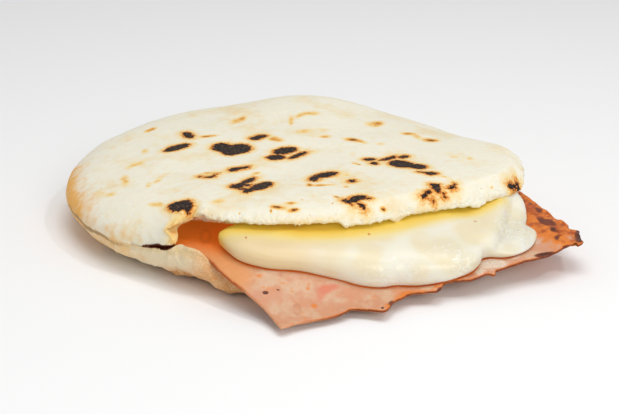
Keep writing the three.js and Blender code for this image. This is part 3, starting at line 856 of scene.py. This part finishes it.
class Wire:
    # One output of a node, with the arithmetic of numbers.
    def __init__(self, tree, socket):
        self.tree = tree
        self.socket = socket

    def node(self, kind, inputs, output=0, **settings):
        made = self.tree.nodes.new(kind)
        for name, value in settings.items():
            setattr(made, name, value)
        for name, value in inputs.items():
            if isinstance(value, Wire):
                self.tree.links.new(value.socket, made.inputs[name])
            else:
                made.inputs[name].default_value = value
        return Wire(self.tree, made.outputs[output])

    def math(self, operation, other=0.0, swap=False):
        pair = (other, self) if swap else (self, other)
        return self.node("ShaderNodeMath", dict(enumerate(pair)), operation=operation)

    def __add__(self, other):
        return self.math("ADD", other)

    def __sub__(self, other):
        return self.math("SUBTRACT", other)

    def __rsub__(self, other):
        return self.math("SUBTRACT", other, swap=True)

    def __mul__(self, other):
        return self.math("MULTIPLY", other)

    __radd__ = __add__
    __rmul__ = __mul__

    def between(self, low, high):
        return self.node("ShaderNodeMapRange", {"Value": self, "From Min": low, "From Max": high},
                         interpolation_type="SMOOTHSTEP")

    def scaled(self, factor):
        return self.node("ShaderNodeVectorMath", {0: self, "Scale": factor}, operation="SCALE")

    def noise(self, size, detail=2.0, rough=0.5):
        return self.node("ShaderNodeTexNoise", {"Vector": self, "Scale": 1 / size, "Detail": detail,
                                                "Roughness": rough})

    def cells(self, size):
        return self.node("ShaderNodeTexVoronoi", {"Vector": self, "Scale": 1 / size})

    def blend(self, first, second):
        return self.node("ShaderNodeMix", {0: self, 6: first, 7: second}, output=2, data_type="RGBA")


class Finish:
    # A new material with its object coordinates in mm.
    def __init__(self, name):
        self.material = bpy.data.materials.new(name)
        self.material.use_nodes = True
        self.tree = self.material.node_tree
        self.shader = self.tree.nodes["Principled BSDF"]
        start = Wire(self.tree, self.tree.nodes.new("ShaderNodeTexCoord").outputs["Object"])
        self.place = start.scaled(1000.0)

    def mark(self, name):
        return self.place.node("ShaderNodeAttribute", {}, output="Fac", attribute_name=name)

    def coats(self, colour, layers):
        # Lays tones over a colour in turn, each through its own mask.
        for mask, tone in layers:
            colour = mask.blend(colour, tone)
        return colour

    def bumps(self, layers):
        # Adds up heights, each with the distance in mm that it stands out.
        normal = None
        for height, distance in layers:
            inputs = {"Height": height, "Strength": 1.0, "Distance": distance / 1000}
            if normal is not None:
                inputs["Normal"] = normal
            normal = self.place.node("ShaderNodeBump", inputs)
        return normal

    def close(self, sockets):
        for name, value in sockets.items():
            if isinstance(value, Wire):
                self.tree.links.new(value.socket, self.shader.inputs[name])
            else:
                self.shader.inputs[name].default_value = value
        return self.material


unlit = (0, 0, 0, 1)

doughLook = {
    "light": paint(237, 233, 216), "warm": paint(235, 222, 188), "glow": paint(240, 210, 142),
    "tan": paint(226, 158, 70), "halo": paint(198, 112, 38), "brown": paint(120, 66, 28),
    "char": paint(30, 23, 21), "ash": paint(78, 58, 44), "pocket": paint(200, 108, 44),
    "crackShade": paint(92, 44, 24), "rim": paint(238, 178, 92), "crust": paint(224, 196, 146),
    "crumb": paint(232, 213, 178), "base": paint(188, 152, 106), "dark": paint(84, 50, 32),
    "stainAndShade": paint(218, 146, 70), "foldShadeGrey": paint(176, 142, 100),
    "paintedGlow": (0.12, 0.025, 0.002, 1),
}


def doughFinish():
    f = Finish("cornDough")
    p, mark, c = f.place, f.mark, doughLook
    fine, mid, cloud, grain = p.noise(0.55, 3.0), p.noise(2.4), p.noise(15.0), p.cells(0.7)
    fineSwing, midSwing, cloudSwing = fine - 0.5, mid - 0.5, cloud - 0.5
    under = mark("under")
    level = mark("level") + 3.0 * midSwing + 3.0 * cloudSwing + 0.8 * fineSwing
    # The lower half darkens towards the bottom: browned crust, with painted shade in the darkest band
    # at its foot.
    lowTone = level.between(3.0, 5.5).blend(c["crust"], c["crumb"])
    lowTone = level.between(9.6, 11.5).blend(lowTone, c["crust"])
    lowTone = level.between(0.2, 2.6).blend(c["base"], lowTone)
    lowTone = level.between(-1.0, 0.6).blend(c["dark"], lowTone)
    tan = 1.2 * mark("tan")
    rim = (mark("rim") + 0.6 * midSwing + cloudSwing).between(0.05, 0.85)
    soft = mark("char") + 1.9 * (p.noise(1.5, 3.0, 0.6) - 0.5)
    depth = soft + 1.2 * fineSwing - 0.8 * (grain - 0.35)
    burnt = depth.between(-0.2, 0.08)
    speckle = (p.noise(0.6) + 0.5 * (grain - 0.35)).between(0.5, 0.75)
    colour = f.coats((cloud + 0.3 * mid - 0.15).between(0.44, 0.7).blend(c["light"], c["warm"]), [
        (under.between(0.1, 0.6), lowTone),
        # A grease stain and painted shade beside the ham's edge.
        ((mark("stainAndShade") + 0.3 * midSwing).between(0.1, 1.0) * 0.85, c["stainAndShade"]),
        ((fine + 0.5 * mid).between(0.6, 0.9) * 0.35, c["warm"]),
        ((tan * (0.4 + 1.2 * mid)).between(0.03, 0.5), c["glow"]),
        ((tan * (0.3 + 1.4 * mid) + 0.5 * fineSwing).between(0.35, 0.8), c["tan"]),
        ((tan + 1.4 * fineSwing + 0.6 * midSwing).between(0.85, 1.15), c["brown"]),
        (rim * (0.65 + 0.6 * mid), c["rim"]),
        # Painted shade: a grey band along the fold.
        ((mark("fold") + 0.8 * midSwing).between(0.3, 0.8), c["foldShadeGrey"]),
        # Painted shade: the pocket's inside turns dark orange.
        (mark("inside").between(0.45, 1.0), c["pocket"]),
        # Painted shade: the crack turns dark brown.
        ((mark("crackShade") * (0.5 + mid) + 0.6 * fineSwing).between(0.4, 0.65), c["crackShade"]),
        (soft.between(-3.2, -0.5) * 0.9, c["glow"]),
        (depth.between(-1.4, -0.55) * 0.9, c["tan"]),
        (depth.between(-0.6, -0.15), c["halo"]),
        (burnt, speckle.blend(c["char"], c["ash"])),
    ])
    normal = f.bumps([
        (mid, 0.22), (fine, 0.1), (grain * under, 0.06), (burnt * (0.6 + speckle), 0.2),
        (p.cells(1.0) * mark("crumbly"), 0.3),
    ])
    # The pocket's inside glows as painted light, but not along the crack.
    return f.close({
        "Base Color": colour, "Roughness": 0.75, "Specular IOR Level": 0.25, "Normal": normal,
        "Subsurface Weight": 0.12, "Subsurface Scale": 0.004, "Subsurface Radius": (1.0, 0.6, 0.3),
        "Emission Color": (mark("inside") - mark("crackShade")).between(0.3, 1.0).blend(unlit, c["paintedGlow"]),
        "Emission Strength": 1.0})


hamLook = {
    "pink": paint(208, 149, 114), "rosy": paint(214, 128, 98), "pale": paint(212, 174, 142),
    "orange": paint(222, 124, 36), "fried": paint(178, 82, 20), "brown": paint(116, 48, 12),
    "blush": paint(220, 150, 92), "dark": paint(70, 30, 12), "pocket": paint(216, 108, 38),
    "oilAndShade": paint(214, 106, 38), "wet": paint(226, 202, 180), "glint": paint(238, 226, 212),
    "ring": paint(150, 62, 24), "edge": paint(176, 82, 30),
    "paintedGlow": (0.22, 0.05, 0.004, 1), "underCheeseGlow": (0.1, 0.025, 0.002, 1),
}


def hamFinish():
    f = Finish("cookedHam")
    p, mark, c = f.place, f.mark, hamLook
    fine, mid, cloud = p.noise(0.6, 3.0), p.noise(2.2, 3.0), p.noise(7.0)
    fineSwing, midSwing = fine - 0.5, mid - 0.5
    wet, left, dark, browned = mark("wet"), mark("leftSide"), mark("dark"), mark("browned")
    spots = (mid + 0.4 * fineSwing).between(0.55, 0.8) * 0.4 + mark("orange") * (0.2 + 1.6 * mid)
    fry = mark("fry") + 1.4 * midSwing + 0.6 * (cloud - 0.5)
    rim = mark("border") + 0.5 * midSwing + 0.3 * fineSwing
    colour = f.coats((cloud + 0.4 * midSwing).between(0.42, 0.64).blend(c["pink"], c["pale"]), [
        ((mark("rosy") * (0.5 + mid)).between(0.1, 0.8), c["rosy"]),
        ((mark("pale") * (0.5 + mid)).between(0.1, 0.9), c["pale"]),
        (spots.between(0.1, 1.0), c["orange"]),
        (fry.between(0.15, 0.6), c["orange"]),
        ((fry + 0.5 * fineSwing).between(0.75, 1.15), c["fried"]),
        ((fry + 0.8 * fineSwing).between(1.15, 1.45), c["brown"]),
        ((wet * (0.2 + 1.6 * mid)).between(0.1, 0.7), c["wet"]),
        (wet * p.noise(0.7, 3.0, 0.6).between(0.52, 0.6), c["glint"]),
        ((left + 0.4 * midSwing).between(0.1, 1.0), c["blush"]),
        # Oil at the cheese's foot, and painted orange shade under its edge.
        ((mark("oilAndShade") + 0.4 * midSwing).between(0.3, 0.9), c["oilAndShade"]),
        ((1.0 - rim.between(0.1, 0.9)) * (0.25 + 0.75 * browned), c["orange"]),
        ((1.0 - rim.between(0.0, 0.5)) * browned, c["brown"]),
        ((1.0 - rim.between(0.1, 0.6)) * left, c["edge"]),
        # Painted shade: the ham under the lid turns dark orange.
        ((mark("covered") + 0.15 * midSwing).between(0.0, 0.9), c["pocket"]),
        (mark("rings") * 0.6, c["ring"]),
        ((dark * (0.5 + mid)).between(0.2, 0.5), c["brown"]),
        ((dark * (0.3 + 1.4 * fine)).between(0.65, 1.05), c["dark"]),
    ])
    # The ham under the lid glows as painted light.
    glow = mark("covered").between(0.2, 1.0).blend(unlit, c["paintedGlow"])
    return f.close({
        "Base Color": colour, "Roughness": 0.5 - 0.2 * wet + 0.3 * fineSwing,
        "Specular IOR Level": 0.35, "Coat Weight": 0.06 + 0.6 * wet, "Coat Roughness": 0.12,
        "Subsurface Weight": 0.15, "Subsurface Scale": 0.003, "Subsurface Radius": (1.0, 0.45, 0.3),
        # The shade under the cheese's edge glows as painted light.
        "Emission Color": (mark("oilAndShade") * 0.8).blend(glow, c["underCheeseGlow"]), "Emission Strength": 1.0,
        "Normal": f.bumps([(mid, 0.3), (fine, 0.1), (p.cells(1.3) * mark("fry"), 0.12),
                           (p.noise(0.8, 3.0, 0.6).between(0.45, 0.6) * wet, 0.12)])})


cheeseLook = {
    "cream": paint(229, 217, 184), "white": paint(232, 228, 211), "left": paint(226, 202, 158),
    "shadeDeepYellow": paint(226, 186, 74), "shadeYellow": paint(234, 212, 136), "dot": paint(196, 116, 50),
    "damp": paint(226, 220, 198), "glint": paint(246, 245, 236),
    "paintedGlow": (0.1, 0.085, 0.006, 1),
}


def cheeseFinish():
    f = Finish("meltedCheese")
    p, mark, c = f.place, f.mark, cheeseLook
    mid, cloud, curl = p.noise(2.2), p.noise(10.0, 1.0), p.noise(1.6)
    wet, flecks = mark("wet"), p.noise(0.8, 3.0, 0.6).between(0.5, 0.6)
    streak = curl.between(0.43, 0.49) * (1.0 - curl.between(0.49, 0.55)) * mid.between(0.42, 0.6)
    shade = mark("shade") + 0.2 * (cloud - 0.5)
    colour = f.coats(cloud.between(0.4, 0.65).blend(c["cream"], c["white"]), [
        ((mark("left") + 0.3 * (cloud - 0.5)).between(0.0, 1.0), c["left"]),
        # Painted shade: a yellow band under the lid's lip.
        (shade.between(0.1, 0.7), c["shadeYellow"]),
        (shade.between(0.4, 0.95), c["shadeDeepYellow"]),
        (mark("dots").between(0.2, 0.7), c["dot"]),
        (wet * 0.6, c["damp"]),
        (wet * (streak + 0.3 * flecks) * 0.8, c["glint"]),
    ])
    return f.close({
        "Base Color": colour, "Roughness": 0.42 - 0.16 * wet, "Specular IOR Level": 0.35,
        "Coat Weight": 0.08 + wet * (0.4 + 0.5 * flecks), "Coat Roughness": 0.12,
        "Subsurface Weight": 0.35, "Subsurface Scale": 0.006, "Subsurface Radius": (1.0, 0.75, 0.4),
        # The band under the lid's lip glows as painted light.
        "Emission Color": mark("shade").between(0.35, 1.0).blend(unlit, c["paintedGlow"]),
        "Emission Strength": 1.0, "Normal": f.bumps([(mid * wet, 0.26), (flecks * wet, 0.06)])})


crumb = {"perArea": 0.15, "smallest": 0.2, "largest": 0.6, "seed": 11,
         "cream": paint(236, 228, 204), "tan": paint(232, 204, 152)}


def crumbFinish():
    f = Finish("doughCrumb")
    tone = f.place.noise(3.0, 2.0).between(0.4, 0.75).blend(crumb["cream"], crumb["tan"])
    return f.close({"Base Color": tone, "Roughness": 0.8, "Specular IOR Level": 0.25})


def buildCrumbs(ground, material):
    # Loose crumbs grown by Geometry Nodes where the ground is marked crumbly.
    values = {"Per Area": crumb["perArea"] * 1e6, "Smallest": crumb["smallest"] / 1000,
              "Largest": crumb["largest"] / 1000, "Seed": crumb["seed"]}
    tree = bpy.data.node_groups.new("crumbs", "GeometryNodeTree")
    kinds = {"Ground": "Geometry", "Seed": "Int"}
    for name in ("Ground", *values):
        kind = "NodeSocket" + kinds.get(name, "Float")
        tree.interface.new_socket(name, in_out="INPUT", socket_type=kind)
    tree.interface.new_socket("Crumbs", in_out="OUTPUT", socket_type="NodeSocketGeometry")
    entry = tree.nodes.new("NodeGroupInput")
    given = {socket.name: Wire(tree, socket) for socket in entry.outputs if socket.name}
    add = given["Ground"].node
    marked = add("GeometryNodeInputNamedAttribute", {"Name": "crumbly"}, output="Attribute",
                 data_type="FLOAT")
    spots = add("GeometryNodeDistributePointsOnFaces", {
        "Mesh": given["Ground"], "Density": marked * given["Per Area"], "Seed": given["Seed"]})
    ball = add("GeometryNodeMeshIcoSphere", {"Subdivisions": 2, "Radius": 0.5})
    turn = add("FunctionNodeRandomValue", {0: (0, 0, 0), 1: (6.3, 6.3, 6.3)}, data_type="FLOAT_VECTOR")
    low, high = (add("ShaderNodeCombineXYZ", dict.fromkeys("XYZ", given[name]))
                 for name in ("Smallest", "Largest"))
    size = add("FunctionNodeRandomValue", {0: low, 1: high}, data_type="FLOAT_VECTOR")
    grown = add("GeometryNodeInstanceOnPoints", {
        "Points": spots, "Instance": ball, "Rotation": turn, "Scale": size})
    real = add("GeometryNodeRealizeInstances", {"Geometry": grown})
    done = add("GeometryNodeSetMaterial", {"Geometry": real, "Material": material})
    leave = tree.nodes.new("NodeGroupOutput")
    tree.links.new(done.socket, leave.inputs["Crumbs"])

    modifier = ground.modifiers.new("crumbs", "NODES")
    modifier.node_group = tree
    for item in tree.interface.items_tree:
        if item.name in values:
            modifier[item.identifier] = values[item.name]
    depsgraph = bpy.context.evaluated_depsgraph_get()
    mesh = bpy.data.meshes.new_from_object(ground.evaluated_get(depsgraph), depsgraph=depsgraph)
    ground.modifiers.remove(modifier)
    print("looseCrumbs", len(mesh.polygons), "faces")
    return placeObject("looseCrumbs", mesh)


def dress(piece, node, material):
    piece.data.materials.append(material)
    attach(piece, "root")
    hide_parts(node)


cakePiece = buildCake()
crumbs = buildCrumbs(cakePiece, crumbFinish())
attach(crumbs, "root")
dress(cakePiece, "arepa", doughFinish())
dress(buildHam(), "ham", hamFinish())
dress(buildCheese(), "cheese", cheeseFinish())
print("pieces built")


studio = {
    "floorHalf": 3.0, "floorTones": [(0.9, 0.9, 0.9, 1), (0.93, 0.93, 0.93, 1)], "world": 0.5,
    # Each lamp's place, what it points at, and its size, all in metres, and its power.
    "lamps": {
        "keyLight": [(-0.02, -0.1, 0.7), (0, 0, 0), 0.5, 1.9],
        "frontLight": [(0.0, -0.7, 0.35), (0, -0.03, 0.01), 0.3, 1.4],
        "sparkle": [(0.22, -0.35, 0.6), (0.02, -0.06, 0.01), 0.04, 0.55],
    },
}


def floorPlate():
    half = studio["floorHalf"]
    mesh = bpy.data.meshes.new("floor")
    mesh.from_pydata([(-half, -half, 0), (half, -half, 0), (half, half, 0), (-half, half, 0)], [],
                     [(0, 1, 2, 3)])
    f = Finish("paleFloor")
    tone = f.place.noise(400.0, 1.0).between(0.0, 1.0).blend(*studio["floorTones"])
    mesh.materials.append(f.close({"Base Color": tone, "Roughness": 0.9, "Specular IOR Level": 0.0}))
    placeObject("floor", mesh)


def softLight(name, place, target, size, power):
    lamp = bpy.data.lights.new(name, "AREA")
    lamp.shape = "DISK"
    lamp.size = size
    lamp.energy = power
    aim(placeObject(name, lamp), place, target)


def aim(holder, place, target):
    forward = np.array(target, float) - np.array(place, float)
    forward /= np.linalg.norm(forward)
    right = np.cross(forward, (0, 0, 1))
    right /= np.linalg.norm(right)
    up = np.cross(right, forward)
    turned = np.stack([right, up, -forward, np.array(place, float)], 1)
    holder.matrix_world = Matrix([*turned.tolist(), [0, 0, 0, 1]])


floorPlate()
for name, lamp in studio["lamps"].items():
    softLight(name, *lamp)

world = bpy.data.worlds.new("studio")
world.use_nodes = True
sky = world.node_tree.nodes["Background"]
sky.inputs["Color"].default_value = (1, 1, 1, 1)
sky.inputs["Strength"].default_value = studio["world"]
bpy.context.scene.world = world
bpy.context.scene.view_settings.view_transform = "Standard"

lens = bpy.data.cameras.new("camera")
lens.lens = shot["lens"]
lens.sensor_width = shot["sensor"]
lens.clip_start = 0.01
camera = placeObject("camera", lens)
target = (np.array(shot["target"]) + (*axisPlace, 0)) / 1000
aim(camera, target + shot["distance"] / 1000 * viewAxes()[2], target)
bpy.context.scene.camera = camera
print("stage set")

bpy.context.view_layer.update()
